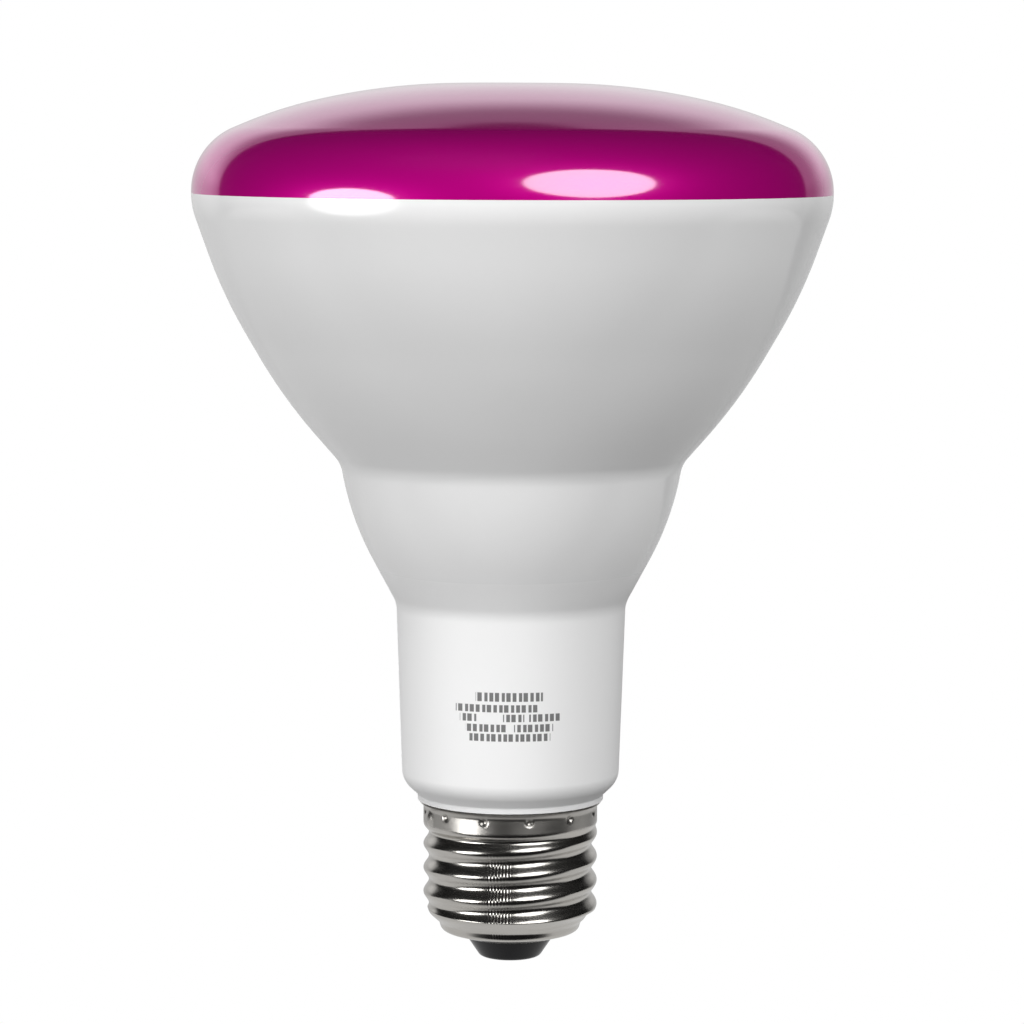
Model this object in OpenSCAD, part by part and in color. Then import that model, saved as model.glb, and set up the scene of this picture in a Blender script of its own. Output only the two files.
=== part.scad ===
// LED reflector bulb with a coloured lens, a white bell-shaped body and a
// rolled screw cap. The origin is the foot of the centre contact, on the axis,
// and +Z points up the axis to the crown of the lens. All sizes are in millimetres.

/* [Lens] */
// Radius of the lens and of the body at their seam
rim_r = 47.3; // [44:0.1:52]
// Height of the lens crown above the seam
lens_h = 16.2; // [14:0.1:20]
// Radius at which the flat crown starts to fall
crown_r = 18.1; // [14:0.1:20]
// Blend radius of the crown
crown_blend = 96; // [60:1:150]
// Distance of the shoulder corner inside the rim
shoulder_in = 12.8; // [11:0.1:15]
// Drop of the shoulder corner below the crown
shoulder_drop = 3.8; // [3:0.1:5]
// Blend radius of the shoulder
shoulder_blend = 65; // [30:1:80]
// Drop of the edge corner below the crown
edge_drop = 9.2; // [8:0.1:11]
// Blend radius of the lens edge
edge_blend = 10.2; // [6:0.1:12]
// Wall of the lens
lens_t = 2; // [1.5:0.1:2.5]
// Depth of the skirt that the lens puts into the body
skirt_h = 3; // [2:0.1:5]
// Wall of the skirt
skirt_t = 1.4; // [1:0.1:1.8]

/* [Body] */
// Height of the body from its lip to the seam
body_h = 90.4; // [86:0.1:96]
// Wall of the body
wall = 2; // [1.6:0.1:2.4]
// Depth of the upright rim band below the seam
rim_d = 1.9; // [1.2:0.1:3]
// Blend radius under the rim band
rim_blend = 11; // [6:0.5:20]
// Distance of the bell's upper corner inside the rim
bell_in = 4.6; // [4:0.1:5.4]
// Depth of that corner below the seam
bell_d = 14.9; // [13:0.1:17]
// Blend radius of the upper bell
bell_blend = 71; // [40:1:90]
// Distance of the bell's lower corner inside the rim
flank_in = 13.5; // [12.5:0.1:14.3]
// Depth of that corner below the seam
flank_d = 30.3; // [29:0.1:31.5]
// Blend radius of the lower bell
flank_blend = 77; // [50:1:100]
// Radius of the waist under the bell
waist_r = 25.4; // [25:0.1:26.2]
// Depth of the waist below the seam
waist_d = 39.9; // [39.5:0.1:42]
// Blend radius in the waist
waist_blend = 4.9; // [2:0.1:6]
// Radius of the bulge under the waist
bulge_r = 23.9; // [23.4:0.1:24.6]
// Depth of the bulge corner below the seam
bulge_d = 48.2; // [46:0.1:49]
// Blend radius of the bulge
bulge_blend = 44; // [20:1:50]
// Radius at the top of the neck
neck_r = 17.1; // [17:0.05:18.5]
// Depth of the top of the neck below the seam
neck_d = 60.8; // [59.5:0.1:62]
// Blend radius at the top of the neck
neck_blend = 4.4; // [2:0.1:6]
// Radius at the foot of the neck
foot_r = 16.2; // [16:0.1:16.8]
// Rise of the foot chamfer above the lip
foot_rise = 3; // [2.6:0.1:4]
// Blend radius at the foot of the neck
foot_blend = 3.4; // [1:0.1:4]
// Radius of the lip over the screw cap
lip_r = 13.9; // [13.7:0.1:14.6]
// Height of the lip
lip_h = 0.8; // [0.4:0.05:1.1]
// Floor over the spigot that carries the cap
floor_t = 2.2; // [1.8:0.1:3]

/* [Spigot] */
// Length of the whole spigot below the lip
spigot_l = 13.6; // [12:0.1:14]
// Wall of the spigot below the band
spigot_t = 1.6; // [1.4:0.1:1.8]
// Play between the screw shell and the spigot
cap_play = 0.2; // [0.15:0.05:0.3]

/* [Screw cap] */
// Radius over the thread crests
cap_r = 13.04; // [12.98:0.01:13.1]
// Depth of the rolled thread
thread_d = 0.82; // [0.6:0.01:0.9]
// Pitch of the thread
pitch = 3.629; // [3.4:0.001:3.8]
// Wall of the rolled sheet
sheet_t = 0.3; // [0.25:0.01:0.4]
// Height of the screw shell from its mouth to its top edge
shell_h = 20.45; // [20:0.05:22]
// Outward flare of its top edge
flare = 0.55; // [0.3:0.05:0.6]
// Height of the flare
flare_h = 0.9; // [0.6:0.1:1.2]
// Distance from the top edge to the first groove
band_h = 2.9; // [2.6:0.1:4]
// Height over which the thread fades at each end
fade_h = 1.7; // [1:0.1:2]
// Height from the mouth to the end of the thread
thread_foot = 4.3; // [4:0.1:4.8]
// Radius of the step below the thread
step_r = 10.7; // [10.5:0.1:11]
// Height of the step above the mouth
step_h = 2.25; // [2:0.05:2.5]
// Radius where the shell turns in to its mouth
turn_r = 10.35; // [10.2:0.05:10.45]
// Height of that turn above the mouth
turn_h = 1.05; // [0.9:0.05:1.3]
// Radius of the mouth
mouth_r = 6.95; // [6.8:0.05:7.5]
// Gap between the lip and the shell
lip_gap = 0.4; // [0.2:0.1:0.8]
// Turn of the thread about the axis, in degrees
thread_turn = 303; // [0:1:359]

/* [Insulator and contact] */
// Height of the insulator below the mouth of the shell
nose_h = 3.15; // [2.8:0.05:3.6]
// Radius of the insulator at its foot
nose_r = 4.5; // [4.2:0.1:5]
// Blend radius of the insulator's foot
nose_blend = 1; // [0.4:0.1:1.5]
// Height of the insulator above the mouth of the shell
plug_h = 4.2; // [3.8:0.1:4.6]
// Play around the insulator
nose_play = 0.2; // [0.15:0.05:0.3]
// Radius of the centre contact
contact_r = 2.6; // [2.3:0.1:3]
// Height that the contact stands below the insulator
contact_h = 0.4; // [0.3:0.05:0.6]
// Radius of the contact's shank
shank_r = 1.1; // [0.9:0.1:1.3]
// Rise of the shank above the insulator
shank_rise = 0.6; // [0.4:0.1:1]

/* [Heat sink and light board] */
// Play between the heat sink and the body
sink_play = 0.3; // [0.2:0.05:0.35]
// Sheet of the heat sink
sink_t = 1.2; // [1:0.1:1.6]
// Depth of the heat sink's top face below the seam
sink_d = 27; // [25:0.1:28]
// Depth of the heat sink's foot below the seam
sink_foot_d = 58; // [56:0.5:59]
// Thickness of the thermal pad
pad_t = 0.5; // [0.3:0.1:1]
// Distance of the light board's edge inside the bell's lower corner
board_in = 4.8; // [4.2:0.1:6]
// Distance of the thermal pad's edge inside the light board's edge
pad_in = 2.5; // [2:0.5:5]
// Thickness of the light board
board_t = 1.6; // [1:0.1:2]
// Radius of the wire hole in the board and the heat sink
wire_hole_r = 3.2; // [3:0.1:3.6]
// Number of light packages on the outer ring
led_outer = 12; // [8:1:14]
// Distance of the outer ring inside the light board's edge
led_edge = 6; // [5:0.5:8]
// Number of light packages on the inner ring
led_inner = 6; // [3:1:7]
// Radius of the inner ring
led_inner_r = 13; // [12:0.5:14]
// Length of a light package
led_l = 3.5; // [3:0.1:4]
// Width of a light package
led_w = 2.8; // [2.4:0.1:3]
// Height of a light package
led_h = 0.8; // [0.6:0.1:1.2]
// Number of screws that hold the board
screw_count = 3; // [2:1:4]
// Offset of the screw circle outwards from midway between the two rings
screw_shift = 0; // [-1:0.5:0.5]
// Radius of a screw's thread
screw_r = 1.4; // [1.2:0.1:1.5]
// Length of a screw under its head
screw_l = 4.6; // [4:0.1:6]
// Play of a screw in its hole
screw_play = 0.1; // [0.05:0.05:0.2]

/* [Driver] */
// Width of the driver board
drv_w = 25; // [24:0.5:25.5]
// Height of the wide part of the driver board
drv_h = 38; // [36:0.5:39]
// Thickness of the driver board
drv_t = 1.2; // [1:0.1:1.6]
// Width of the tail that reaches into the cap
tail_w = 14; // [12:0.5:15]
// Height of the tail
tail_h = 13; // [12:0.5:13.5]
// Play of the driver board in its rails
drv_play = 0.25; // [0.2:0.05:0.3]
// Thickness of a rail beside the driver board
rail_t = 1.6; // [1.2:0.1:2]
// Overlap of a rail with the driver board's edge
rail_lap = 1.2; // [0.8:0.1:1.5]
// Height of the rails above the floor
rail_h = 24; // [18:0.5:26]

/* [Hidden] */
$fn = 96;
arc_step = 3;
over = 0.5;

// Heights, each stacked on the one below it
nose_z = contact_h;
mouth_z = nose_z + nose_h;
shell_top = mouth_z + shell_h;
lip_z = shell_top + lip_gap;
seam_z = lip_z + body_h;
top_z = seam_z + lens_h;
floor_z = lip_z + floor_t;
spigot_z = lip_z - spigot_l;
collar_z = shell_top - band_h + cap_play;
plug_z = mouth_z + plug_h;
sink_z = seam_z - sink_d;
pad_z = sink_z + pad_t;
board_z = pad_z + board_t;

// Radii that follow from the rim
bell_r = rim_r - bell_in;
flank_r = rim_r - flank_in;
board_r = flank_r - board_in;
pad_r = board_r - pad_in;
led_outer_r = board_r - led_edge;
screw_ring_r = (led_outer_r + led_inner_r) / 2 + screw_shift;

// Radii that follow from the cap
shell_in = cap_r - sheet_t;
collar_r = shell_in - cap_play;
spigot_r = shell_in - thread_d - cap_play;
bore_r = spigot_r - spigot_t;

// Outlines as corners, each a radius, a height and a blend radius
lens_path = [[0, top_z, 0],
             [crown_r, top_z, crown_blend],
             [rim_r - shoulder_in, top_z - shoulder_drop, shoulder_blend],
             [rim_r, top_z - edge_drop, edge_blend],
             [rim_r, seam_z, 0]];
body_path = [[rim_r, seam_z, 0],
             [rim_r, seam_z - rim_d, rim_blend],
             [bell_r, seam_z - bell_d, bell_blend],
             [flank_r, seam_z - flank_d, flank_blend],
             [waist_r, seam_z - waist_d, waist_blend],
             [bulge_r, seam_z - bulge_d, bulge_blend],
             [neck_r, seam_z - neck_d, neck_blend],
             [foot_r, lip_z + foot_rise, foot_blend],
             [lip_r, lip_z + lip_h, lip_h / 2],
             [lip_r, lip_z, 0]];
shell_path = [[cap_r, mouth_z + thread_foot, 0],
              [step_r, mouth_z + step_h, 0.8],
              [turn_r, mouth_z + turn_h, 0.9],
              [mouth_r, mouth_z, 0]];

// Small vector helpers for outlines in the plane of radius and height
function unit(v) = v / norm(v);
function xz(p) = [p[0], p[1]];
function inward(u) = [u[1], -u[0]];
function cross2(u, v) = u[0] * v[1] - u[1] * v[0];
function turn_at(a, b, c) = acos(max(-1, min(1, unit(b - a) * unit(c - b))));

// Length that the blend of one corner asks for on each side of it
function wanted(path, i) = i == 0 || i == len(path) - 1 ? 0
    : path[i][2] * tan(turn_at(xz(path[i - 1]), xz(path[i]), xz(path[i + 1])) / 2);

// Share of that length that the straight after corner i has room for
function room(path, i) =
    let (asked = wanted(path, i) + wanted(path, i + 1))
    asked > 0 ? min(1, 0.98 * norm(xz(path[i + 1]) - xz(path[i])) / asked) : 1;

// The blend of one corner: [start, end, centre, radius, true if it bulges out]
function blend(path, i) =
    let (b = xz(path[i]), u = unit(b - xz(path[i - 1])), v = unit(xz(path[i + 1]) - b),
         share = min(room(path, i - 1), room(path, i)),
         reach = share * wanted(path, i),
         r = share * path[i][2],
         bulges = cross2(u, v) < 0,
         start = b - u * reach)
    [start, b + v * reach, start + (bulges ? r : -r) * inward(u), r, bulges];

// The same outline, moved inwards by t
function inset(path, t) = [for (i = [0 : len(path) - 1])
    let (last = len(path) - 1,
         b = xz(path[i]),
         n1 = i > 0 ? inward(unit(b - xz(path[i - 1]))) : inward(unit(xz(path[1]) - b)),
         n2 = i < last ? inward(unit(xz(path[i + 1]) - b)) : n1,
         p = b + t * (n1 + n2) / (1 + n1 * n2),
         out = i > 0 && i < last ? blend(path, i)[4] : true)
    [p[0], p[1], i == 0 || i == last ? 0 : max(0.05, path[i][2] + (out ? -t : t))]];

// Points along an outline, with each blend cut into steps of a few degrees
function sampled(path, step = arc_step) = concat([xz(path[0])],
    [for (i = [1 : len(path) - 2])
        let (f = blend(path, i), d1 = f[0] - f[2], d2 = f[1] - f[2],
             turn = turn_at(xz(path[i - 1]), xz(path[i]), xz(path[i + 1])),
             steps = path[i][2] > 0 ? ceil(turn / step) : 1,
             side = f[4] ? -1 : 1,
             first = atan2(d1[1], d1[0]))
        for (k = [0 : steps])
            let (a = first + side * turn * k / steps)
                path[i][2] > 0 ? f[2] + f[3] * [cos(a), sin(a)] : f[0]],
    [xz(path[len(path) - 1])]);

// A ring of points without the ones that repeat the point after them
function distinct(p) = [for (i = [0 : len(p) - 1])
    if (norm(p[i] - p[(i + 1) % len(p)]) > 0.0001) p[i]];

// The region between an outline and the axis
module region(path) {
    edge = sampled(path);
    last = len(edge) - 1;
    polygon(distinct(concat(edge, [[0, edge[last][1]], [0, edge[0][1]]])));
}

// The same region between two heights
module region_between(path, low, high) {
    intersection() {
        region(path);
        translate([0, low]) square([2 * rim_r, high - low]);
    }
}

// Lens: a domed cap with a skirt that drops into the body
module lens() {
    skirt_r = rim_r - lens_t;
    inner = inset(lens_path, lens_t);
    last = len(inner) - 1;
    color("#a8006e") rotate_extrude() difference() {
        region(concat(lens_path, [[skirt_r, seam_z, 0], [skirt_r, seam_z - skirt_h, 0]]));
        region([for (i = [0 : last]) i < last ? inner[i] : [skirt_r, seam_z + skirt_t, 0]]);
        translate([0, seam_z - skirt_h - over])
            square([skirt_r - skirt_t, skirt_h + skirt_t + 2 * over]);
    }
}

// Where the skirt and its seal sit in the body
skirt_play = 0.3;
seal_h = 0.8;
seat_z = seam_z - skirt_h - seal_h;

// Seal: the adhesive ring under the skirt
module lens_seal() {
    color("#d8d8d2") translate([0, 0, seat_z])
        ring(rim_r - lens_t, rim_r - lens_t - skirt_t, seal_h);
}

module ring(outer, inner, h) {
    difference() {
        cylinder(r = outer, h = h);
        translate([0, 0, -over]) cylinder(r = inner, h = h + 2 * over);
    }
}

// Body: one moulding, with the seat for the lens, the rails and the spigot
module housing() {
    inner = inset(body_path, wall);
    color("#f1f1f1") {
        difference() {
            union() {
                rotate_extrude() difference() {
                    region(body_path);
                    region_between(inner, floor_z, seat_z);
                    translate([0, seat_z])
                        square([rim_r - lens_t + skirt_play, skirt_h + seal_h + over]);
                }
                translate([0, 0, collar_z]) cylinder(r = collar_r, h = lip_z - collar_z + over);
                translate([0, 0, spigot_z]) cylinder(r = spigot_r, h = spigot_l + over);
            }
            translate([0, 0, spigot_z - over])
                cylinder(r = bore_r, h = spigot_l + floor_t + 2 * over);
            rotate(neutral_turn)
                translate([spigot_r - groove_d, -groove_w / 2, spigot_z - over])
                    cube([collar_r, groove_w, groove_top - spigot_z + over]);
        }
        rails();
    }
}

// Rails: four ribs in the neck that hold the driver board by its edges
module rails() {
    inner = inset(body_path, wall - over);
    intersection() {
        rotate_extrude() region_between(inner, floor_z - over, floor_z + rail_h);
        for (sx = [-1, 1], sy = [-1, 1])
            translate([sx > 0 ? drv_w / 2 - rail_lap : -drv_w / 2 + rail_lap - foot_r,
                       drv_y + (sy > 0 ? drv_t / 2 + drv_play
                                       : -drv_t / 2 - drv_play - rail_t),
                       floor_z - over])
                cube([foot_r, rail_t, rail_h + 2 * over]);
    }
}

// Screw shell: one rolled sheet, from its flared edge through the thread to its mouth.
// Each ring of points follows the outline, and the groove winds round it as a right-hand
// helix that fades in under the plain band and out above the step.
turn_steps = 48;
pitch_steps = 9;
shell_step = 20;
band_z = shell_top - band_h;
foot_z = mouth_z + thread_foot;

function ramp(x) = let (t = max(0, min(1, x))) t * t * (3 - 2 * t);
function groove(a, z) = thread_d * ramp((band_z - z) / fade_h) * ramp((z - foot_z) / fade_h + 1)
    * (1 - cos(360 * (z - foot_z) / pitch - a + thread_turn)) / 2;

flare_rows = [for (k = [0 : 3]) let (s = k / 3)
    [cap_r + flare * (1 - s) * (1 - s), shell_top - flare_h * s]];
thread_rows = [for (k = [0 : floor((band_z - foot_z) / pitch * pitch_steps)])
    [cap_r, band_z - k * pitch / pitch_steps]];
outer_rows = concat(flare_rows, thread_rows, sampled(shell_path, shell_step));
inner_rows = concat([for (p = flare_rows) p - [sheet_t, 0]],
                    [for (p = thread_rows) p - [sheet_t, 0]],
                    sampled(inset(shell_path, sheet_t), shell_step));
shell_rows = concat(outer_rows, [for (i = [len(inner_rows) - 1 : -1 : 0]) inner_rows[i]]);

module screw_shell() {
    rows = len(shell_rows);
    points = [for (p = shell_rows, j = [0 : turn_steps - 1])
        let (a = 360 * j / turn_steps, r = p[0] - groove(a, p[1]))
        [r * cos(a), r * sin(a), p[1]]];
    faces = [for (i = [0 : rows - 1], j = [0 : turn_steps - 1])
        let (i2 = (i + 1) % rows, j2 = (j + 1) % turn_steps,
             a = i * turn_steps + j, b = i * turn_steps + j2,
             c = i2 * turn_steps + j2, d = i2 * turn_steps + j)
        each [[a, b, c], [a, c, d]]];
    color("silver") polyhedron(points, faces, convexity = 10);
}

// Insulator: the black nose, with a plug behind the shell's mouth
module base_insulator() {
    plug_r = turn_r - sheet_t - nose_play;
    nose_top = mouth_r - sheet_t / 2 - nose_play;
    seat = mouth_z + turn_h + sheet_t + nose_play;
    path = [[0, plug_z, 0],
            [plug_r, plug_z, 0],
            [plug_r, seat, 0],
            [nose_top, seat, 0],
            [nose_top, mouth_z, 0],
            [nose_r, nose_z, nose_blend],
            [0, nose_z, 0]];
    color("#1c1c1c") rotate_extrude() difference() {
        region(path);
        translate([0, nose_z - over])
            square([shank_r + nose_play / 2, plug_z - nose_z + 2 * over]);
    }
}

// Contact: a rivet whose flat foot is the centre contact
module centre_contact() {
    path = [[0, shank_top, 0], [shank_r, shank_top, 0], [shank_r, nose_z, 0],
            [contact_r, nose_z, 0], [contact_r, contact_h / 2, 0],
            [contact_r - contact_h, 0, 0], [0, 0, 0]];
    color("#b9a56a") rotate_extrude() polygon([for (p = path) xz(p)]);
}
shank_top = plug_z + shank_rise;

// Heat sink: a spun cup that lines the bell, closed by the plate that carries the light board
module heat_sink() {
    outer = inset(body_path, wall + sink_play);
    inner = inset(body_path, wall + sink_play + sink_t);
    color("#c3c7cb") difference() {
        rotate_extrude() difference() {
            region_between(outer, seam_z - sink_foot_d, sink_z);
            region_between(inner, seam_z - sink_foot_d - over, sink_z - sink_t);
        }
        translate([0, 0, sink_z - 2 * sink_t]) {
            cylinder(r = wire_hole_r, h = 3 * sink_t);
            screw_ring() cylinder(r = screw_r + screw_play, h = 3 * sink_t);
        }
    }
}

module screw_ring() {
    for (i = [0 : screw_count - 1])
        rotate(360 * (i + 0.5) / screw_count) translate([screw_ring_r, 0, 0]) children();
}

module board_holes(h) {
    translate([0, 0, -over]) {
        cylinder(r = wire_hole_r, h = h + 2 * over);
        screw_ring() cylinder(r = screw_r + screw_play, h = h + 2 * over);
    }
}

module thermal_pad() {
    color("#8d97a3") translate([0, 0, sink_z]) difference() {
        cylinder(r = pad_r, h = pad_t);
        board_holes(pad_t);
    }
}

module led_board() {
    color("#eceee9") translate([0, 0, pad_z]) difference() {
        cylinder(r = board_r, h = board_t);
        board_holes(board_t);
    }
}

// Light packages: two rings, each package with a phosphor dome in its tray
module led_packages() {
    color("#e8d36b") {
        for (i = [0 : led_outer - 1])
            rotate(360 * i / led_outer) translate([led_outer_r, 0, board_z]) led_package();
        for (i = [0 : led_inner - 1])
            rotate(360 * (i + 0.5) / led_inner) translate([led_inner_r, 0, board_z]) led_package();
    }
}

module led_package() {
    bevel = 0.35;
    difference() {
        translate([-led_w / 2, -led_l / 2, 0]) cube([led_w, led_l, led_h]);
        translate([0, 0, led_h]) cylinder(r = led_w / 2 - bevel, h = 2 * bevel, center = true);
    }
}

// Board screws: pan heads with a cross slot
module board_screws() {
    head_r = 1.9 * screw_r;
    head_h = 1.2 * screw_r;
    slot_w = 0.4 * screw_r;
    color("#a8acb0") screw_ring() translate([0, 0, board_z]) difference() {
        union() {
            cylinder(r = head_r, h = head_h);
            translate([0, 0, -screw_l]) cylinder(r = screw_r, h = screw_l + over);
        }
        for (a = [0, 90]) rotate(a)
            translate([-head_r / 2, -slot_w / 2, head_h / 2]) cube([head_r, slot_w, head_h]);
    }
}

// Connector: the push-in block beside the wire hole
conn_w = 6.4;
conn_l = 6;
conn_h = 3.4;
conn_y = wire_hole_r + 0.6;
wire_r = 0.6;
wire_step = 3;
wire_rise = conn_h / 2;

module board_connector() {
    hole_l = 2;
    color("#f4f4f0") translate([0, 0, board_z]) difference() {
        translate([-conn_w / 2, conn_y, 0]) cube([conn_w, conn_l, conn_h]);
        for (s = [-1, 1])
            translate([s * wire_step / 2, conn_y - over, wire_rise]) rotate([-90, 0, 0])
                cylinder(r = wire_r + 0.15, h = hole_l + over);
    }
}

// A wire along a path in the plane of radius and height, with true bends
module wire(path, r) {
    last = len(path) - 1;
    ends = concat([[xz(path[0]), xz(path[0])]], [for (i = [1 : last - 1]) blend(path, i)],
                  [[xz(path[last]), xz(path[last])]]);
    for (i = [0 : last - 1]) {
        d = ends[i + 1][0] - ends[i][1];
        if (norm(d) > 0.001)
            translate([ends[i][1][0], 0, ends[i][1][1]])
                rotate([0, atan2(d[0], d[1]), 0]) cylinder(r = r, h = norm(d), $fn = 24);
    }
    for (i = [1 : last - 1]) {
        f = ends[i];
        d1 = f[0] - f[2];
        d2 = f[1] - f[2];
        first = cross2(d1, d2) > 0 ? d1 : d2;
        translate([f[2][0], 0, f[2][1]]) rotate([90, 0, 0]) rotate(atan2(first[1], first[0]))
            rotate_extrude(angle = acos(unit(d1) * unit(d2)), $fn = 48)
                translate([f[3], 0]) circle(r = r, $fn = 24);
    }
}

// Light wires: from the top of the driver board up through the hole to the connector
module led_wires() {
    bend = 1.5;
    color("#c23b2e") for (s = [-1, 1])
        translate([s * wire_step / 2, 0, 0]) rotate(90)
            wire([[drv_y - drv_t / 2 - drv_play - wire_r, drv_top - 4, 0],
                  [drv_y - drv_t / 2 - drv_play - wire_r, board_z + wire_rise, bend],
                  [conn_y + 1.5, board_z + wire_rise, 0]], wire_r);
}

// Driver board: the wide part sits in the rails and the tail reaches down the spigot
drv_y = 1;
drv_z = floor_z + drv_play;
drv_top = drv_z + drv_h;
drv_front = drv_y - drv_t / 2;
drv_back = drv_y + drv_t / 2;

// Sizes of what stands on the driver board, and the heights above its foot
part_gap = 1;
rect_w = 5;
rect_h = 4.2;
rect_t = 1.6;
chip_w = 4;
chip_h = 5;
chip_t = 1.5;
film_w = 9;
film_t = 4.5;
in_can_r = 4;
in_can_h = 12;
out_can_r = 4;
out_can_h = 10;
coil_r = 3.6;
coil_h = 8;
can_x = drv_w / 2 - in_can_r - 3 * part_gap;
film_x = drv_w / 2 - film_w / 2 - 2 * part_gap;

module driver_board() {
    color("#2e7d4a") translate([0, drv_back, 0]) rotate([90, 0, 0]) linear_extrude(drv_t)
        union() {
            translate([-drv_w / 2, drv_z]) square([drv_w, drv_h]);
            translate([-tail_w / 2, drv_z - tail_h]) square([tail_w, tail_h + over]);
        }
}

// A block that lies on the front of the driver board
module on_front(x, z, w, h, depth) {
    translate([x - w / 2, drv_front - depth, z]) cube([w, depth, h]);
}

// A round can that lies along the board, just off its face
can_gap = 0.15;
module can(x, z, r, h) {
    translate([x, drv_front - can_gap - r, z]) cylinder(r = r, h = h, $fn = 48);
}

module bridge_rectifier() {
    color("#2a2a2a") translate([-rect_w - 2 * part_gap, drv_back, drv_z + rect_h])
        cube([rect_w, rect_t, rect_h]);
}

module driver_chip() {
    color("#202020") translate([-part_gap, drv_back, tr_z + chip_w - part_gap])
        cube([chip_w, chip_t, chip_h]);
}

module fuse_resistor() {
    body_l = 7;
    body_r = 1.7;
    lead_l = 1.2;
    lead_r = 0.4;
    x = body_r + 0.7 - tail_w / 2;
    z = drv_z - body_l - 0.6;
    color("#7fa7c9") {
        can(x, z, body_r, body_l);
        translate([x, drv_front - can_gap - body_r, z - lead_l])
            cylinder(r = lead_r, h = body_l + 2 * lead_l, $fn = 24);
    }
}

module varistor() {
    disc_r = 3;
    disc_t = 3.2;
    color("#2f57a8") translate([disc_r, drv_front, drv_z - disc_r - 2 * part_gap])
        rotate([90, 0, 0])
        cylinder(r = disc_r, h = disc_t, $fn = 48);
}

module film_capacitor() {
    color("#b5402f") on_front(film_x, drv_z + 2 * part_gap, film_w, film_w, film_t);
}

module capacitor(x, z, r, h) {
    groove_r = 0.3;
    groove_z = 1.4;
    difference() {
        can(x, z, r, h);
        translate([x, drv_front - can_gap - r, z + groove_z])
            rotate_extrude($fn = 48) translate([r, 0]) circle(r = groove_r, $fn = 24);
    }
}

module input_capacitor() {
    color("#3a3a44") capacitor(-can_x, drv_z + 1.5 * part_gap, in_can_r, in_can_h);
}

module output_capacitor() {
    color("#3a3a44") capacitor(-film_x, drv_top - out_can_h - part_gap / 2, out_can_r, out_can_h);
}

module filter_inductor() {
    core_r = coil_r - 1.2;
    flange_h = 1;
    z = drv_top - coil_h - 2 * part_gap;
    color("#9a5a2c") difference() {
        can(film_x, z, coil_r, coil_h);
        translate([film_x, drv_front - can_gap - coil_r, z + flange_h])
            ring(coil_r + over, core_r, coil_h - 2 * flange_h);
    }
}

// Transformer: a ferrite frame round a bobbin with its winding
tr_z = drv_z + in_can_h + 3 * part_gap;
tr_w = 13;
tr_h = 11;
tr_leg = 2.4;
tr_t = 5;
tr_gap = 0.2;
flange_w = (tr_w - 3 * tr_leg) / 2 - 2 * tr_gap;
tr_y = drv_front - tr_t / 2 - tr_gap - flange_w;

module transformer_core() {
    window = (tr_w - 3 * tr_leg) / 2;
    color("#4b4b4f") translate([0, tr_y, tr_z]) difference() {
        translate([-tr_w / 2, -tr_t / 2, 0]) cube([tr_w, tr_t, tr_h]);
        for (s = [-1, 1])
            translate([s * (tr_leg + window) / 2 - window / 2, -tr_t, tr_leg])
                cube([window, 2 * tr_t, tr_h - 2 * tr_leg]);
    }
}

module bobbin_wall(grow, h) {
    w = tr_leg + 2 * (tr_gap + grow);
    d = tr_t + 2 * (tr_gap + grow);
    translate([-w / 2, -d / 2, 0]) cube([w, d, h]);
}

bobbin_h = tr_h - 2 * tr_leg - 2 * tr_gap;
bobbin_t = 0.6;

module transformer_bobbin() {
    color("#1f1f22") translate([0, tr_y, tr_z + tr_leg + tr_gap]) difference() {
        union() {
            bobbin_wall(bobbin_t, bobbin_h);
            for (z = [0, bobbin_h - bobbin_t])
                translate([0, 0, z]) bobbin_wall(flange_w, bobbin_t);
        }
        translate([0, 0, -over]) bobbin_wall(0, bobbin_h + 2 * over);
    }
}

module transformer_winding() {
    color("#d9b23a")
        translate([0, tr_y, tr_z + tr_leg + tr_gap + bobbin_t]) difference() {
            bobbin_wall(flange_w - 0.3, bobbin_h - 2 * bobbin_t);
            translate([0, 0, -over]) bobbin_wall(bobbin_t, bobbin_h);
        }
}

// Live wire: from the foot of the tail to the top of the contact
module live_wire() {
    color("#202020") translate([0, drv_front - wire_r - can_gap, shank_top])
        cylinder(r = wire_r, h = drv_z - tail_h + 4 - shank_top, $fn = 24);
}

// Neutral wire: from the tail, under the spigot and up its groove, where the shell traps it
neutral_turn = 203;
neutral_r = 0.5;
groove_w = 1.5;
groove_d = 1;
groove_top = collar_z + 2.5;
neutral_out = spigot_r - groove_d + neutral_r + 0.15;
neutral_in = bore_r - neutral_r - 0.3;

module neutral_wire() {
    start = 2.2;
    run_z = drv_z - tail_h + 3.5;
    bend = 1.2;
    low = spigot_z - (neutral_out - neutral_in) / 2 - 0.2;
    color("#e4e4e4") rotate(neutral_turn)
        wire([[start, run_z + 2, 0], [start, run_z, bend], [neutral_in, run_z, bend],
              [neutral_in, low, (neutral_out - neutral_in) / 2],
              [neutral_out, low, (neutral_out - neutral_in) / 2],
              [neutral_out, groove_top - 0.5, 0]], neutral_r);
}

lens();
lens_seal();
housing();
screw_shell();
base_insulator();
centre_contact();
heat_sink();
thermal_pad();
led_board();
led_packages();
board_screws();
board_connector();
led_wires();
driver_board();
bridge_rectifier();
driver_chip();
fuse_resistor();
varistor();
film_capacitor();
input_capacitor();
output_capacitor();
filter_inductor();
transformer_core();
transformer_bobbin();
transformer_winding();
live_wire();
neutral_wire();
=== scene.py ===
import math

import bmesh
import bpy
from mathutils import Matrix, Vector


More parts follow.
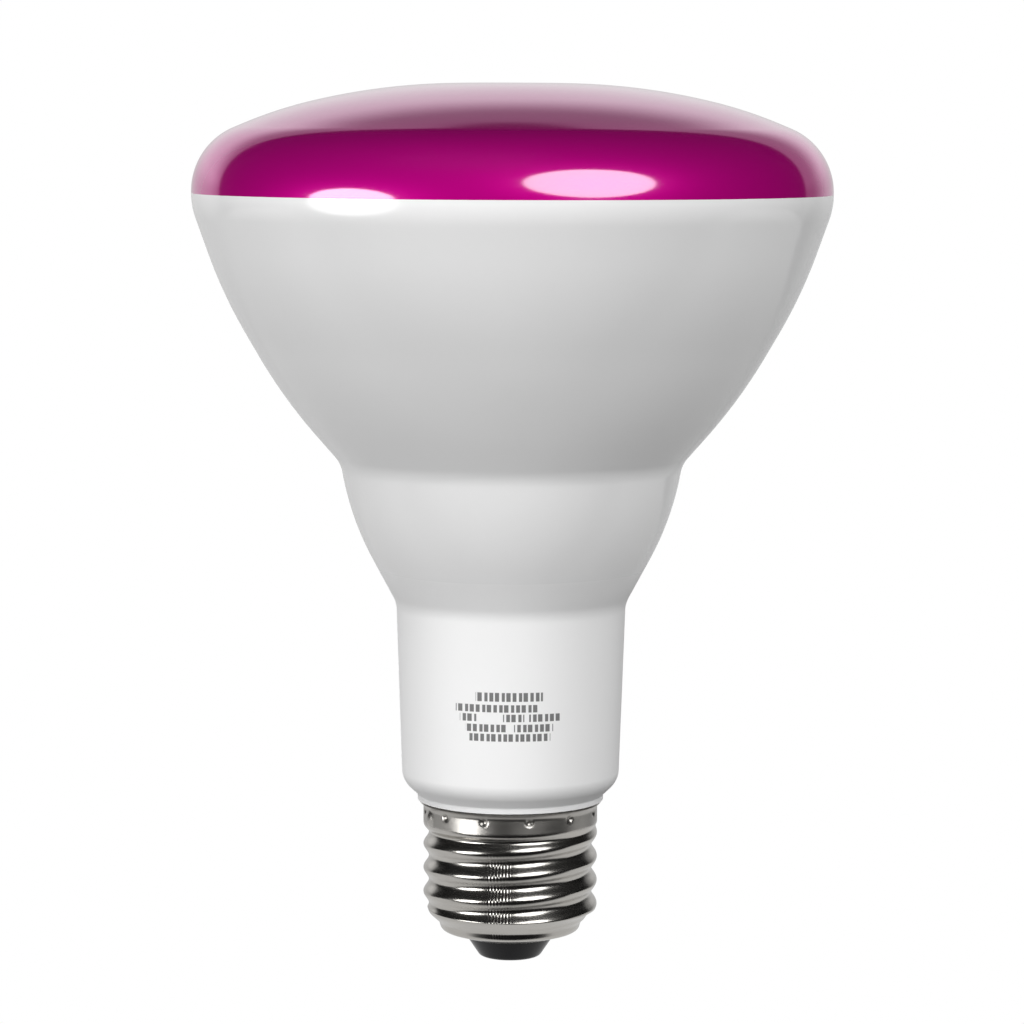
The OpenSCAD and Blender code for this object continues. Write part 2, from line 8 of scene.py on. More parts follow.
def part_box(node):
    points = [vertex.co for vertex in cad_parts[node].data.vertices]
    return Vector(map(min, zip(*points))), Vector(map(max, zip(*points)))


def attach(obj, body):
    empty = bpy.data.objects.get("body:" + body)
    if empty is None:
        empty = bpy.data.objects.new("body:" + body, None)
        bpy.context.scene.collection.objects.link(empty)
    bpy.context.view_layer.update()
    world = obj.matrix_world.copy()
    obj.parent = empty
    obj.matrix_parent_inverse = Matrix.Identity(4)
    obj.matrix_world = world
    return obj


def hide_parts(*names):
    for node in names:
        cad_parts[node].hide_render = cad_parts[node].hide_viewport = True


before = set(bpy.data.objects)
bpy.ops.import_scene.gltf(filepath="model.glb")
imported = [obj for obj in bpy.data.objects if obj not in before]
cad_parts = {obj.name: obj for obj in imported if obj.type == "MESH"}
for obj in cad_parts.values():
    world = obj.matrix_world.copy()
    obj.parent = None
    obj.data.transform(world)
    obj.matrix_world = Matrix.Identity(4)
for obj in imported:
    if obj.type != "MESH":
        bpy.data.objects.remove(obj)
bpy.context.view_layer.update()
mm = 0.001
print("frame loaded:", len(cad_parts), "solids")

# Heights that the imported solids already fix, in metres
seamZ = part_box("housing")[1].z
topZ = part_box("lens")[1].z
shellLow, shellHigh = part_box("screw_shell")
mouthZ, shellTop = shellLow.z, shellHigh.z
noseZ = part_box("base_insulator")[0].z


# Camera and studio
view = {
    "distance": 556 * mm,     # from the lamp's axis
    "rise": 10.7 * mm,        # above the seam
    "tiltDeg": 5.955,         # looking down
    "rollDeg": 0.2,
    "focal": 131.9,
    "offset": 0.1 * mm,
    "sensor": 36,
    "near": 10 * mm,
}
studio = {
    "floorDrop": 0.5,         # below the lamp, out of the picture
    "floorHalf": 3.2,
    "floorFront": -0.3,       # where the paper starts in front of the lamp
    "backdropY": 1.5,
    "backdropTop": 1.57,      # above the seam
    "backdropHalf": 2.05,
    # litTop, litHalf, litX, dimming, litSoft, low, lowH and floorFade set painted light and shade on
    # the paper, seen only in reflections
    "litTop": 0.97,           # the part of the backdrop that is lit fully
    "litHalf": 1.52,
    "litX": -0.33,
    "fill": 0.04,             # what the dark studio sends back from below
    "ceiling": 0.8,           # what its pale ceiling adds
    "ceilingEdge": (-0.1, 0.9),   # from how far down to how far up it grows
    "gloom": 0.007,           # what its dark side shows in reflections
    "mirrored": 0.92,         # the paper's white in reflections
    "floorShare": 0.8,        # and the floor's share of it
    "floorFade": 0.25,        # how deep the floor fades in from its front
    "low": 0.70,              # the backdrop's share at the seam's height
    "lowH": 0.35,             # and how far above the seam it is whole
    "dimming": 0.66,          # how far the paper outside the lit oval falls off
    "litSoft": (0.75, 1.3),   # where that starts and ends, as shares of the oval
    "edgeSoft": (0.97, 1.0),  # and the same at the backdrop's own edge
    "shownDeg": 45,           # lamps lifted more than this don't show in reflections
    "floorMatt": 0.15,        # what each sheet scatters
    "backdropMatt": 0.8,
}
keyLamps = {
    "right": {"turnDeg": 28, "liftDeg": 21, "reach": 1.25,
              "width": 1.04, "height": 0.94, "watts": 10.5},
    "above": {"turnDeg": -22, "liftDeg": 58, "reach": 1.5,
              "width": 1.3, "height": 1.0, "watts": 9},
    "left": {"turnDeg": -57.5, "liftDeg": -6, "reach": 1.25,
             "width": 0.79, "height": 0.72, "watts": 8},
}


def makeCamera(v):
    data = bpy.data.cameras.new("camera")
    data.lens = v["focal"]
    data.sensor_width = v["sensor"]
    data.clip_start = v["near"]
    camera = bpy.data.objects.new("camera", data)
    bpy.context.scene.collection.objects.link(camera)
    camera.matrix_world = (Matrix.Translation((v["offset"], -v["distance"], seamZ + v["rise"]))
                           @ Matrix.Rotation(math.radians(90 - v["tiltDeg"]), 4, "X")
                           @ Matrix.Rotation(math.radians(v["rollDeg"]), 4, "Z"))
    bpy.context.scene.camera = camera


# Shader and geometry maths: a socket that takes the plain operators
class Socket:
    def __init__(self, web, port):
        self.web, self.port = web, port

    def maths(self, operation, *others):
        return self.web.add("ShaderNodeMath", {"operation": operation},
                            dict(enumerate((self,) + others)))

    def __add__(self, other):
        return self.maths("ADD", other)

    def __mul__(self, other):
        return self.maths("MULTIPLY", other)

    def __sub__(self, other):
        return self.maths("SUBTRACT", other)

    def __truediv__(self, other):
        return self.maths("DIVIDE", other)

    def __rsub__(self, other):
        return self * -1 + other

    def __rtruediv__(self, other):
        return self.maths("POWER", -1) * other

    def __neg__(self):
        return self * -1

    def __pow__(self, other):
        return self.maths("POWER", other)

    __radd__ = __add__
    __rmul__ = __mul__

    def ramp(self, low, high):
        return self.web.add("ShaderNodeMapRange", {"interpolation_type": "SMOOTHSTEP"},
                            {0: self, 1: low, 2: high, 3: 0.0, 4: 1.0})

    def part(self, axis):
        return self.web.add("ShaderNodeSeparateXYZ", {}, {0: self}, axis)


class Web:
    def __init__(self, tree):
        self.tree = tree

    def add(self, kind, settings=None, values=None, out=0):
        made = self.tree.nodes.new(kind)
        for key, value in (settings or {}).items():
            setattr(made, key, value)
        for key, value in (values or {}).items():
            if isinstance(value, Socket):
                self.tree.links.new(value.port, made.inputs[key])
            elif value is not None:
                made.inputs[key].default_value = value
        return Socket(self, made.outputs[out]) if made.outputs else made


# A finish: a Principled surface whose colour, roughness and normal come from build, and
# whose other sockets are fixed. The base colour stands for it in plain views.
def finish(name, build, base, metallic=0.0, inner=None, **fixed):
    material = bpy.data.materials.new(name)
    material.use_nodes = True
    material.node_tree.nodes.clear()
    web = Web(material.node_tree)
    place = web.add("ShaderNodeTexCoord", out="Object")
    surface = web.add("ShaderNodeBsdfPrincipled", {},
                      {"Metallic": metallic, **fixed, **build(web, place)})
    if inner:
        second, share = inner(web, place)
        surface = web.add("ShaderNodeMixShader", {}, {0: share, 1: surface, 2: second})
    web.add("ShaderNodeOutputMaterial", {}, {0: surface})
    material.diffuse_color = (*base, 1)
    return material


def tone(web, fac, low, high):
    return web.add("ShaderNodeMix", {"data_type": "RGBA"},
                   {0: fac, 6: (*low, 1), 7: (*high, 1)}, 2)


def noise(web, place, scale, detail=3.0):
    return web.add("ShaderNodeTexNoise", {}, {"Vector": place, "Scale": scale, "Detail": detail})


def bump(web, height, strength, distance):
    return web.add("ShaderNodeBump", {},
                   {"Strength": strength, "Distance": distance, "Height": height})


def makeStudio(s):
    world = bpy.data.worlds.new("studio")
    bpy.context.scene.world = world
    world.use_nodes = True
    world.node_tree.nodes.clear()
    web = Web(world.node_tree)
    seen = web.add("ShaderNodeLightPath", out="Is Camera Ray")
    glossy = web.add("ShaderNodeLightPath", out="Is Glossy Ray")
    up = web.add("ShaderNodeTexCoord", out="Generated").part(2)
    level = up.ramp(*s["ceilingEdge"]) * s["ceiling"] + s["fill"]
    grey = web.add("ShaderNodeBackground", {}, {0: (1, 1, 1, 1), 1: level})
    dark = web.add("ShaderNodeBackground", {}, {0: (1, 1, 1, 1), 1: s["gloom"]})
    white = web.add("ShaderNodeBackground", {}, {0: (1, 1, 1, 1), 1: 1.0})
    around = web.add("ShaderNodeMixShader", {}, {0: glossy, 1: grey, 2: dark})
    mixed = web.add("ShaderNodeMixShader", {}, {0: seen, 1: around, 2: white})
    web.add("ShaderNodeOutputWorld", {}, {0: mixed})

    floorZ, top = -s["floorDrop"], seamZ + s["backdropTop"]
    half, wide = s["backdropHalf"], s["floorHalf"]
    front, back = s["floorFront"], s["backdropY"]
    sheet("studio_floor", [(-wide, front, floorZ), (wide, front, floorZ),
                           (wide, back, floorZ), (-wide, back, floorZ)],
          paperFinish("studio_floor", s, floorLevel, s["floorMatt"]))
    sheet("studio_backdrop", [(-half, back, floorZ), (half, back, floorZ),
                              (half, back, top), (-half, back, top)],
          paperFinish("studio_backdrop", s, backdropLevel, s["backdropMatt"]))
    for name, k in keyLamps.items():
        keyLamp(name, k, s["shownDeg"])


# How bright the paper is in reflections, as painted light: painted shade fading to the front on the
# floor, and on the backdrop a painted pool of light, an oval set in a dimmer one
def floorLevel(web, place, s):
    front = s["floorFront"]
    return place.part(1).ramp(front, front + s["floorFade"]) * s["mirrored"] * s["floorShare"]


def backdropLevel(web, place, s):
    x, up = place.part(0), (place.part(2) - seamZ).maths("MAXIMUM", 0.0)

    def oval(centre, half, tall):
        return (((x - centre) / half) ** 2 + (up / tall) ** 2).maths("SQRT")

    lit = oval(s["litX"], s["litHalf"], s["litTop"])
    edge = oval(0.0, s["backdropHalf"], s["backdropTop"])
    level = up.ramp(0.0, s["lowH"]) * (1 - s["low"]) + s["low"]
    level = level * (1 - s["dimming"] * lit.ramp(*s["litSoft"]))
    return level * (1 - edge.ramp(*s["edgeSoft"])) * s["mirrored"]


# White paper: plain white to the camera, glowing in reflections with the painted light and shade
# that level gives, and matt to the light
def paperFinish(name, s, level, matt):
    material = bpy.data.materials.new(name)
    material.use_nodes = True
    material.node_tree.nodes.clear()
    web = Web(material.node_tree)
    seen = web.add("ShaderNodeLightPath", out="Is Camera Ray")
    glossy = web.add("ShaderNodeLightPath", out="Is Glossy Ray")
    v = level(web, web.add("ShaderNodeTexCoord", out="Object"), s)
    shine = web.add("ShaderNodeEmission", {},
                    {0: web.add("ShaderNodeCombineColor", {}, {0: v, 1: v, 2: v})})
    glow = web.add("ShaderNodeEmission", {}, {0: (1, 1, 1, 1), 1: 1.0})
    dull = web.add("ShaderNodeBsdfDiffuse", {}, {0: (matt, matt, matt, 1)})
    far = web.add("ShaderNodeMixShader", {}, {0: glossy, 1: dull, 2: shine})
    mixed = web.add("ShaderNodeMixShader", {}, {0: seen, 1: far, 2: glow})
    web.add("ShaderNodeOutputMaterial", {}, {0: mixed})
    return material


def sheet(name, corners, material):
    mesh = bpy.data.meshes.new(name)
    mesh.from_pydata(corners, [], [(0, 1, 2, 3)])
    mesh.materials.append(material)
    made = bpy.data.objects.new(name, mesh)
    bpy.context.scene.collection.objects.link(made)


def keyLamp(name, k, shownDeg):
    turn, lift = math.radians(k["turnDeg"]), math.radians(k["liftDeg"])
    aim = Vector((math.sin(turn) * math.cos(lift), -math.cos(turn) * math.cos(lift),
                  math.sin(lift)))
    data = bpy.data.lights.new("umbrella_" + name, "AREA")
    data.shape = "ELLIPSE"
    data.size, data.size_y = k["width"], k["height"]
    data.energy = k["watts"]
    lamp = bpy.data.objects.new(data.name, data)
    bpy.context.scene.collection.objects.link(lamp)
    lamp.location = aim * k["reach"] + Vector((0, 0, seamZ))
    lamp.visible_glossy = k["liftDeg"] < shownDeg
    lamp.rotation_euler = aim.to_track_quat("Z", "Y").to_euler()


# How finely the pieces are drawn
fineness = {
    "shareMost": 0.98,        # of a straight, for the two blends that meet on it
    "blendLeast": 0.05 * mm,  # blend radius left by an inset
    "joined": 1e-7,           # points this near each other are one
    "arcDeg": 1, "step": 0.8 * mm, "turns": 288,   # lens and body
    "innerArcDeg": 3,         # and their inner faces
    "smallArcDeg": 6,         # nose and contact
}


# Outlines: corners of radius, height and blend radius, as a maker draws them.
# Two blends that meet on a short straight share it in proportion.
def blendOf(corners, i):
    def turnAt(k):
        if k in (0, len(corners) - 1):
            return 0
        u, v = (Vector(corners[k + n][:2]) - Vector(corners[k + n - 1][:2]) for n in (0, 1))
        return u.angle(v)

    def asked(k):
        return corners[k][2] * math.tan(turnAt(k) / 2)

    def room(k):
        length = (Vector(corners[k + 1][:2]) - Vector(corners[k][:2])).length
        both = asked(k) + asked(k + 1)
        return min(1, fineness["shareMost"] * length / both) if both > 0 else 1

    b = Vector(corners[i][:2])
    u = (b - Vector(corners[i - 1][:2])).normalized()
    v = (Vector(corners[i + 1][:2]) - b).normalized()
    share = min(room(i - 1), room(i))
    side = 1 if u.x * v.y - u.y * v.x < 0 else -1
    start = b - u * share * asked(i)
    return start, start + Vector((u.y, -u.x)) * share * corners[i][2] * side, turnAt(i), side


def outline(corners, stepDeg):
    points = [Vector(corners[0][:2])]
    for i in range(1, len(corners) - 1):
        if corners[i][2] <= 0:
            points.append(Vector(corners[i][:2]))
            continue
        start, centre, turn, side = blendOf(corners, i)
        steps = max(2, math.ceil(math.degrees(turn) / stepDeg))
        for k in range(steps + 1):
            points.append(centre + Matrix.Rotation(-side * turn * k / steps, 2) @ (start - centre))
    points.append(Vector(corners[-1][:2]))
    return points


def inset(corners, wall):
    last = len(corners) - 1
    moved = []
    for i, corner in enumerate(corners):
        b = Vector(corner[:2])
        u = (b - Vector(corners[i - 1][:2])) if i else (Vector(corners[1][:2]) - b)
        v = (Vector(corners[i + 1][:2]) - b) if i < last else u
        n1, n2 = (Vector((w.y, -w.x)).normalized() for w in (u, v))
        p = b + wall * (n1 + n2) / (1 + n1.dot(n2))
        side = blendOf(corners, i)[3] if 0 < i < last else 1
        blend = max(fineness["blendLeast"], corner[2] - side * wall) if 0 < i < last else 0
        moved.append((p.x, p.y, blend))
    return moved


# Adds points so that no step along an outline is longer than reach
def finer(points, reach):
    out = [points[0]]
    for a, b in zip(points, points[1:]):
        count = max(1, math.ceil((b - a).length / reach))
        out += [a.lerp(b, k / count) for k in range(1, count + 1)]
    return out


# Turns a closed outline round the axis
def lathe(name, points, turns, sharpDeg=40):
    mesh = bpy.data.meshes.new(name)
    verts, rings = [], []
    for p in points:
        if p.x < fineness["joined"]:
            rings.append([len(verts)] * turns)
            verts.append((0, 0, p.y))
        else:
            rings.append(list(range(len(verts), len(verts) + turns)))
            verts += [(p.x * math.cos(2 * math.pi * k / turns),
                       p.x * math.sin(2 * math.pi * k / turns), p.y) for k in range(turns)]
    faces = []
    for i in range(len(rings)):
        a, b = rings[i], rings[(i + 1) % len(rings)]
        for k in range(turns):
            n = (k + 1) % turns
            face = list(dict.fromkeys((a[k], b[k], b[n], a[n])))
            if len(face) > 2:
                faces.append(face)
    mesh.from_pydata(verts, [], faces)
    work = bmesh.new()
    work.from_mesh(mesh)
    bmesh.ops.remove_doubles(work, verts=work.verts, dist=fineness["joined"])
    bmesh.ops.recalc_face_normals(work, faces=work.faces)
    work.to_mesh(mesh)
    work.free()
    mesh.polygons.foreach_set("use_smooth", [True] * len(mesh.polygons))
    mesh.set_sharp_from_angle(angle=math.radians(sharpDeg))
    made = bpy.data.objects.new(name, mesh)
    bpy.context.scene.collection.objects.link(made)
    return made


# Gives a piece its finish and puts it in the place of a solid
def fit(piece, material, node):
    piece.data.materials.clear()
    piece.data.materials.append(material)
    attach(piece, "root")
    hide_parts(node)


# Lens
lensSize = {
    "rimR": 47.3 * mm, "wall": 2 * mm, "skirt": 3 * mm, "skirtWall": 1.4 * mm,
    "crown": (18.1 * mm, 0, 96 * mm),
    "shoulder": (34.5 * mm, 3.8 * mm, 65 * mm),
    "edge": (47.3 * mm, 9.2 * mm, 10.2 * mm),
}


def makeLens(s):
    corners = [(0, topZ, 0)]
    corners += [(r, topZ - drop, blend) for r, drop, blend in (s["crown"], s["shoulder"], s["edge"])]
    corners += [(s["rimR"], seamZ, 0)]
    inner = inset(corners, s["wall"])
    skirtR = s["rimR"] - s["wall"]
    inner[-1] = (skirtR, seamZ + s["skirtWall"], 0)
    points = finer(outline(corners, fineness["arcDeg"]), fineness["step"])
    points += [Vector(p) for p in ((skirtR, seamZ), (skirtR, seamZ - s["skirt"]),
                                   (skirtR - s["skirtWall"], seamZ - s["skirt"]),
                                   (skirtR - s["skirtWall"], seamZ + s["skirtWall"]))]
    points += list(reversed(outline(inner, fineness["innerArcDeg"])))
    return lathe("lens_dome", points, fineness["turns"])


# White body: its corners are a radius, a drop below the seam and a blend, in millimetres
bodySize = {
    "wall": 2 * mm, "seat": 3.8 * mm, "seatR": 45.6 * mm,
    "corners": [(47.3, 0, 0), (47.3, 1.9, 11), (42.7, 14.9, 71), (33.8, 30.3, 77),
                (25.4, 39.9, 4.9), (23.9, 48.2, 44), (17.1, 60.8, 4.4),
                (16.2, 87.4, 3.4), (13.9, 89.6, 0.4), (13.9, 90.4, 0)],
    "floor": 2.2 * mm, "collarR": 12.54 * mm, "collarDrop": 3.1 * mm,
    "spigotR": 11.72 * mm, "spigotDrop": 13.6 * mm, "spigotWall": 1.6 * mm,
    "railX": (11.3 * mm, 14.6 * mm), "railY": (0.85 * mm, 2.45 * mm), "boardY": 1 * mm,
    "railH": 24 * mm, "railSink": 0.1 * mm,
    "grooveTurnDeg": 203, "grooveW": 1.5 * mm, "grooveD": 1 * mm, "grooveH": 2.5 * mm,
    "over": 1 * mm,           # how far the groove's cut reaches past the body
}


def makeBody(s):
    corners = [(r * mm, seamZ - d * mm, blend * mm) for r, d, blend in s["corners"]]
    lipZ = corners[-1][1]
    inner = inset(corners, s["wall"])
    seatZ, floorZ = seamZ - s["seat"], lipZ + s["floor"]
    boreR = s["spigotR"] - s["spigotWall"]
    points = finer(outline(corners, fineness["arcDeg"]), fineness["step"])
    points += [Vector(p) for p in ((s["collarR"], lipZ), (s["collarR"], lipZ - s["collarDrop"]),
                                   (s["spigotR"], lipZ - s["collarDrop"]),
                                   (s["spigotR"], lipZ - s["spigotDrop"]),
                                   (boreR, lipZ - s["spigotDrop"]), (boreR, floorZ))]
    inside = [p for p in reversed(outline(inner, fineness["innerArcDeg"])) if floorZ < p.y < seatZ]
    points += [Vector((inside[0].x, floorZ))] + inside
    points += [Vector((inside[-1].x, seatZ)), Vector((s["seatR"], seatZ)),
               Vector((s["seatR"], seamZ))]
    body = lathe("white_body", points, fineness["turns"])
    rails = []
    for sx in (-1, 1):
        for sy in (-1, 1):
            x = sorted(sx * v for v in s["railX"])
            y = sorted(sy * v + s["boardY"] for v in s["railY"])
            rails.append((Vector((x[0], y[0], floorZ - s["railSink"])),
                          Vector((x[1], y[1], floorZ + s["railH"]))))
    groove = [(Vector((s["spigotR"] - s["grooveD"], -s["grooveW"] / 2,
                       lipZ - s["spigotDrop"] - s["over"])),
               Vector((s["collarR"] + s["over"], s["grooveW"] / 2,
                       lipZ - s["collarDrop"] + s["grooveH"])))]
    combine(body, rails, "UNION", 0)
    combine(body, groove, "DIFFERENCE", s["grooveTurnDeg"])
    return body


# Adds or cuts blocks, each given by two corners and turned about the axis
def combine(piece, blocks, operation, turnDeg):
    work = bmesh.new()
    for low, high in blocks:
        middle, size = (low + high) / 2, high - low
        bmesh.ops.create_cube(work, size=1, matrix=Matrix.Translation(middle)
                              @ Matrix.Diagonal((*size, 1)))
    bmesh.ops.rotate(work, verts=work.verts, matrix=Matrix.Rotation(math.radians(turnDeg), 3, "Z"))
    mesh = bpy.data.meshes.new("blocks")
    work.to_mesh(mesh)
    work.free()
    tool = bpy.data.objects.new("blocks", mesh)
    bpy.context.scene.collection.objects.link(tool)
    step = piece.modifiers.new("combine", "BOOLEAN")
    step.operation, step.solver, step.object = operation, "EXACT", tool
    ready = piece.evaluated_get(bpy.context.evaluated_depsgraph_get())
    made = bpy.data.meshes.new_from_object(ready)
    piece.modifiers.clear()
    old, piece.data = piece.data, made
    made.name = piece.name
    bpy.data.meshes.remove(old)
    bpy.data.objects.remove(tool)
    bpy.data.meshes.remove(mesh)


# Screw shell: the sheet is turned first, then Geometry Nodes roll the thread and press
# the punch marks and the dent. Its corners are a radius, a height above the mouth and a
# blend, in millimetres.
shellSize = {
    "crestR": 13.04 * mm, "sheet": 0.3 * mm, "flare": 0.55 * mm, "flareH": 0.9 * mm,
    "pitch": 3.629 * mm, "depth": 0.82 * mm, "band": 2.9 * mm, "fade": 1.7 * mm,
    "foot": 4.3 * mm, "turnDeg": 303.0,
    "corners": [(13.04, 4.3, 0), (10.7, 2.25, 0.8), (10.35, 1.05, 0.9), (6.95, 0, 0)],
    "punchCount": 12, "punchR": 0.75 * mm, "punchDepth": 0.32 * mm, "punchDrop": 1.15 * mm,
    "punchTurnDeg": 12.5, "punchFlat": 0.15,   # the share of its radius that lies flat
    "dentR": 1.5 * mm, "dentRise": 0.35 * mm, "dentDrop": 1.9 * mm, "dentTurnDeg": -67,
    "dentFlat": 0.2,
    "flareSteps": 8, "arcDeg": 9, "step": 0.13 * mm, "innerStep": 0.4 * mm,
    "turns": 400, "sharpDeg": 50,
}


def turnedSheet(s):
    steps = s["flareSteps"]
    flare = [Vector((s["crestR"] + s["flare"] * (1 - k / steps) ** 2,
                     shellTop - s["flareH"] * k / steps)) for k in range(steps + 1)]
    foot = [(r * mm, mouthZ + z * mm, b * mm) for r, z, b in s["corners"]]
    line = flare + outline(foot, s["arcDeg"])
    outer = finer(line, s["step"])
    back = [(p.x, p.y, 0) for p in line]
    inner = finer([Vector(p[:2]) for p in inset(back, s["sheet"])], s["innerStep"])
    return lathe("screw_cap", outer + list(reversed(inner)), s["turns"], s["sharpDeg"])


def rollThread(piece, s, material):
    tree = bpy.data.node_groups.new("rolled_thread", "GeometryNodeTree")
    face = tree.interface
    face.new_socket("Geometry", in_out="INPUT", socket_type="NodeSocketGeometry")
    names = ["Top", "Foot", "Pitch", "Depth", "Fade", "Turn", "Punch count", "Punch radius",
             "Punch depth", "Punch height", "Punch turn", "Dent radius", "Dent rise",
             "Dent height", "Dent turn"]
    for name in names:
        face.new_socket(name, in_out="INPUT", socket_type="NodeSocketFloat")
    face.new_socket("Geometry", in_out="OUTPUT", socket_type="NodeSocketGeometry")
    web = Web(tree)
    entry = tree.nodes.new("NodeGroupInput")
    given = {name: Socket(web, entry.outputs[name]) for name in names}
    spot = web.add("GeometryNodeInputPosition")
    x, y, z = (spot.part(k) for k in range(3))
    angle = y.maths("ARCTAN2", x)
    radius = (x * x + y * y).maths("SQRT")
    turn = (z - given["Foot"]) / given["Pitch"] * (2 * math.pi) - angle + given["Turn"]
    fadeTop = ((given["Top"] - z) / given["Fade"]).ramp(0.0, 1.0)
    fadeFoot = ((z - given["Foot"]) / given["Fade"] + 1).ramp(0.0, 1.0)
    groove = given["Depth"] * fadeTop * fadeFoot * (1 - turn.maths("COSINE")) * 0.5
    step = 2 * math.pi / given["Punch count"]
    around = (angle - given["Punch turn"]) / step + 0.5
    around = (around - around.maths("FLOOR") - 0.5) * step * radius
    up = z - given["Punch height"]
    spread = (around * around + up * up).maths("SQRT") / given["Punch radius"]
    punch = given["Punch depth"] * (1 - spread.ramp(s["punchFlat"], 1.0))
    off = (angle - given["Dent turn"]) * radius
    away = z - given["Dent height"]
    far = (off * off + away * away).maths("SQRT") / given["Dent radius"]
    rise = given["Dent rise"] * (1 - far.ramp(s["dentFlat"], 1.0))
    shift = (rise - groove - punch) / radius
    move = web.add("ShaderNodeCombineXYZ", {}, {0: x * shift, 1: y * shift, 2: 0.0})
    moved = web.add("GeometryNodeSetPosition", {},
                    {"Geometry": Socket(web, entry.outputs["Geometry"]), "Offset": move})
    real = web.add("GeometryNodeRealizeInstances", {}, {0: moved})
    done = web.add("GeometryNodeSetMaterial", {}, {"Geometry": real, "Material": material})
    leave = tree.nodes.new("NodeGroupOutput")
    tree.links.new(done.port, leave.inputs[0])
    values = [shellTop - s["band"], mouthZ + s["foot"], s["pitch"], s["depth"], s["fade"],
              math.radians(s["turnDeg"]), s["punchCount"], s["punchR"], s["punchDepth"],
              shellTop - s["punchDrop"], math.radians(s["punchTurnDeg"] - 90), s["dentR"],
              s["dentRise"], shellTop - s["dentDrop"], math.radians(s["dentTurnDeg"] - 90)]
    runTree(piece, tree, dict(zip(names, values)))


# Sets a tree's named inputs, then keeps the result as a plain mesh
def runTree(piece, tree, values):
    modifier = piece.modifiers.new("tree", "NODES")
    modifier.node_group = tree
    for item in tree.interface.items_tree:
        if item.in_out == "INPUT" and item.name in values:
            modifier[item.identifier] = values[item.name]
    bpy.context.view_layer.update()
    seen = piece.evaluated_get(bpy.context.evaluated_depsgraph_get())
    result = bpy.data.meshes.new_from_object(seen)
    piece.modifiers.remove(modifier)
    old = piece.data
    piece.data = result
    bpy.data.meshes.remove(old)


# Black nose and centre contact
noseSize = {
    "topR": 6.6 * mm, "footR": 4.5 * mm, "blend": 1 * mm, "topBlend": 0.35 * mm,
    "plugR": 9.85 * mm, "plugLow": 1.55 * mm, "plugHigh": 4.2 * mm, "plugBlend": 0.3 * mm,
    "holeR": 1.2 * mm, "step": 0.5 * mm, "turns": 160,
}
contactSize = {"r": 2.6 * mm, "shankR": 1.1 * mm, "blend": 0.08 * mm, "footBlend": 0.2 * mm,
               "turns": 96}


def makeNose(s):
    corners = [(s["holeR"], mouthZ + s["plugHigh"], 0),
               (s["plugR"], mouthZ + s["plugHigh"], s["plugBlend"]),
               (s["plugR"], mouthZ + s["plugLow"], s["plugBlend"]),
               (s["topR"], mouthZ + s["plugLow"], 0),
               (s["topR"], mouthZ, s["topBlend"]),
               (s["footR"], noseZ, s["blend"]),
               (s["holeR"], noseZ, 0)]
    points = finer(outline(corners, fineness["smallArcDeg"]), s["step"])
    return lathe("black_nose", points, s["turns"])


def makeContact(s):
    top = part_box("centre_contact")[1].z
    corners = [(0, top, 0), (s["shankR"], top, 0), (s["shankR"], noseZ, 0), (s["r"], noseZ, 0),
               (s["r"], noseZ / 2, s["blend"]), (s["r"] - noseZ, 0, s["footBlend"]),
               (0, 0, 0)]
    return lathe("contact_rivet", outline(corners, fineness["smallArcDeg"]), s["turns"])


# Lens finish
lensLook = {
    # The lens runs from the bright tone at the seam to a darker tone at the crown: painted shade on
    # the dome
    "shadedCrown": (0.21, 0.0, 0.093), "bright": (0.60, 0.0, 0.26), "shadeH": 11 * mm,
    "haze": 0.42, "metallic": 0.42, "grain": 0.05, "grainScale": 900.0,
    "back": (0.85, 0.0, 0.50), "backShare": 0.38, "backHaze": 0.05, "backScale": 70.0,
    "coatHaze": 0.09, "coatIndex": 2.1,
    "rippleScale": 60.0, "ripple": 0.03, "rippleH": 0.4 * mm,
}


# Tinted plastic under a clear gloss: a hazy body whose colour is painted darker from the seam up to
# the crown, a painted shade, and its inner face, which mirrors the studio in magenta where it is
# seen at a slant
def lensFinish(m):
    gloss = {"Coat Weight": 1.0, "Coat Roughness": m["coatHaze"], "Coat IOR": m["coatIndex"],
             "Specular IOR Level": 0.0}

    def build(web, place):
        # Painted shade: the colour darkens with height above the seam
        height = ((place.part(2) - seamZ) / m["shadeH"]).maths("MINIMUM", 1.0)
        grain = noise(web, place, m["grainScale"])
        return {"Base Color": tone(web, height, m["bright"], m["shadedCrown"]),
                "Roughness": m["haze"] + grain * m["grain"],
                "Normal": bump(web, noise(web, place, m["rippleScale"]), m["ripple"], m["rippleH"])}

    def inner(web, place):
        grain = noise(web, place, m["backScale"])
        surface = web.add("ShaderNodeBsdfPrincipled", {}, {
            "Base Color": (*m["back"], 1), "Metallic": 1.0,
            "Roughness": m["backHaze"] + grain * m["grain"], **gloss})
        slant = web.add("ShaderNodeLayerWeight", {}, {0: 0.5}, "Facing")
        return surface, slant * m["backShare"]
    return finish("magenta_lens", build, m["bright"], m["metallic"], inner, **gloss)


# Printed marks on the neck: plain bars of small blocks, each row a drop below the seam,
# a height and its two ends, in millimetres
marks = {
    "rows": [(73.3, 1.3, -5.1, 4.7), (74.9, 1.1, -8.0, 3.9), (76.3, 1.1, -7.4, -5.0),
             (76.3, 1.1, -1.1, 2.0), (76.3, 1.1, 2.7, 7.3), (77.8, 1.1, -6.6, -0.5),
             (77.8, 1.1, 0.5, 6.2), (79.2, 1.1, -6.2, 5.8)],
    "blockL": 0.84 * mm, "gapShare": 0.34, "uneven": 0.12, "unevenTurn": 2.3, "rowShift": 0.37,
    "gapEdge": 0.06, "edge": 0.05 * mm, "ink": (0.06, 0.06, 0.06), "cover": 0.86,
}
bodyLook = {
    "low": (0.80, 0.80, 0.80), "high": (0.84, 0.84, 0.84), "cloudScale": 45.0,
    "base": (0.82, 0.82, 0.82), "haze": 0.10, "cloudHaze": 0.04, "index": 1.48,
    "neckHaze": 0.5, "neckDrop": (62 * mm, 52 * mm),   # below the seam: all of it, none of it
    "rippleScale": 55.0, "ripple": 0.05, "rippleH": 0.4 * mm,
}


